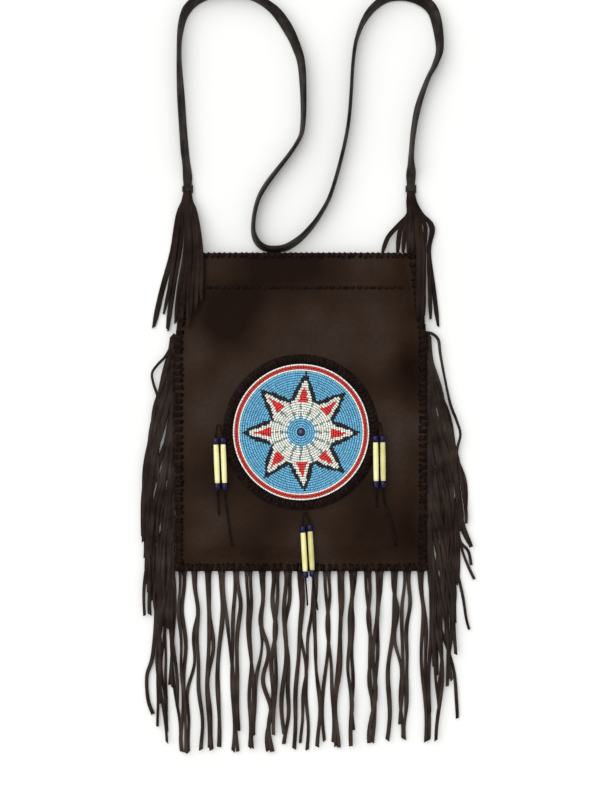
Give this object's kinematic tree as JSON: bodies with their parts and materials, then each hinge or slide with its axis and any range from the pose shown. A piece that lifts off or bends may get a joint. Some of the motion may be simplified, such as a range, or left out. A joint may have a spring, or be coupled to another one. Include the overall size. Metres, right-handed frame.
{
  "type": "beaded leather medicine bag",
  "caption": "Flat dark leather pouch with a round beaded star rosette, hairpipe pendants, long leather fringe, corner tassels and a loose shoulder strap.",
  "frame": {"origin": "on the flat underside of the back panel, at the middle of the pouch, which lies on its back", "axes": "+Z out of the bag's front, +Y towards its open top and strap, +X to the viewer's right of the front"},
  "size_m": [0.3192, 0.7529, 0.0219],
  "materials": {
    "bag_leather": "dark brown smooth leather with a fine grain",
    "fringe_leather": "dark brown soft leather strands",
    "lace_leather": "near-black brown leather lace",
    "blue_beads": "opaque light blue glass seed beads",
    "cream_beads": "opaque cream white glass seed beads",
    "red_beads": "opaque red glass seed beads",
    "navy_beads": "opaque blue-black glass seed beads",
    "bone": "polished cream bone",
    "cobalt_glass": "cobalt blue glass beads"
  },
  "bodies": {
    "pouch": {"back_panel": "bag_leather", "blue_centre_beads": "blue_beads", "blue_field_beads": "blue_beads", "border_lacing": "lace_leather", "bottom_fringe_over": "fringe_leather", "bottom_fringe_under": "fringe_leather", "bottom_seam_lacing": "lace_leather", "centre_bead": "navy_beads", "cream_star_beads": "cream_beads", "front_panel": "bag_leather", "hem_lacing": "lace_leather", "left_fringe_over": "fringe_leather", "left_fringe_under": "fringe_leather", "left_keeper": "lace_leather", "left_seam_lacing": "lace_leather", "left_strap_tab": "bag_leather", "left_tassel": "fringe_leather", "navy_star_beads": "navy_beads", "red_point_beads_1": "red_beads", "red_point_beads_2": "red_beads", "red_point_beads_3": "red_beads", "red_point_beads_4": "red_beads", "red_point_beads_5": "red_beads", "red_point_beads_6": "red_beads", "red_point_beads_7": "red_beads", "red_point_beads_8": "red_beads", "right_fringe_over": "fringe_leather", "right_fringe_under": "fringe_leather", "right_keeper": "lace_leather", "right_seam_lacing": "lace_leather", "right_strap_tab": "bag_leather", "right_tassel": "fringe_leather", "rim_inner_beads": "cream_beads", "rim_outer_beads": "cream_beads", "rim_red_beads": "red_beads", "rosette_backing": "bag_leather", "rosette_border": "bag_leather", "strap": "bag_leather", "top_edge_lacing": "lace_leather"},
    "left_pendant": {"left_pendant_hairpipe_a": "bone", "left_pendant_hairpipe_b": "bone", "left_pendant_lower_bead_a": "cobalt_glass", "left_pendant_lower_bead_b": "cobalt_glass", "left_pendant_thong": "lace_leather", "left_pendant_upper_bead_a": "cobalt_glass", "left_pendant_upper_bead_b": "cobalt_glass"},
    "right_pendant": {"right_pendant_hairpipe_a": "bone", "right_pendant_hairpipe_b": "bone", "right_pendant_lower_bead_a": "cobalt_glass", "right_pendant_lower_bead_b": "cobalt_glass", "right_pendant_thong": "lace_leather", "right_pendant_upper_bead_a": "cobalt_glass", "right_pendant_upper_bead_b": "cobalt_glass"},
    "bottom_pendant": {"bottom_pendant_hairpipe_a": "bone", "bottom_pendant_hairpipe_b": "bone", "bottom_pendant_lower_bead_a": "cobalt_glass", "bottom_pendant_lower_bead_b": "cobalt_glass", "bottom_pendant_thong": "lace_leather", "bottom_pendant_upper_bead_a": "cobalt_glass", "bottom_pendant_upper_bead_b": "cobalt_glass"}
  },
  "joints": [
    {"name": "left_pendant_swing", "type": "hinge", "parent": "pouch", "child": "left_pendant", "pos_m": [-0.081, -0.0128, 0.0197], "axis": [0, 0, 1], "range_deg": [-45, 0]},
    {"name": "right_pendant_swing", "type": "hinge", "parent": "pouch", "child": "right_pendant", "pos_m": [0.0766, -0.0107, 0.0197], "axis": [0, 0, 1], "range_deg": [0, 45]},
    {"name": "bottom_pendant_swing", "type": "hinge", "parent": "pouch", "child": "bottom_pendant", "pos_m": [0.0043, -0.0992, 0.0161], "axis": [0, 0, 1], "range_deg": [-35, 35]}
  ]
}
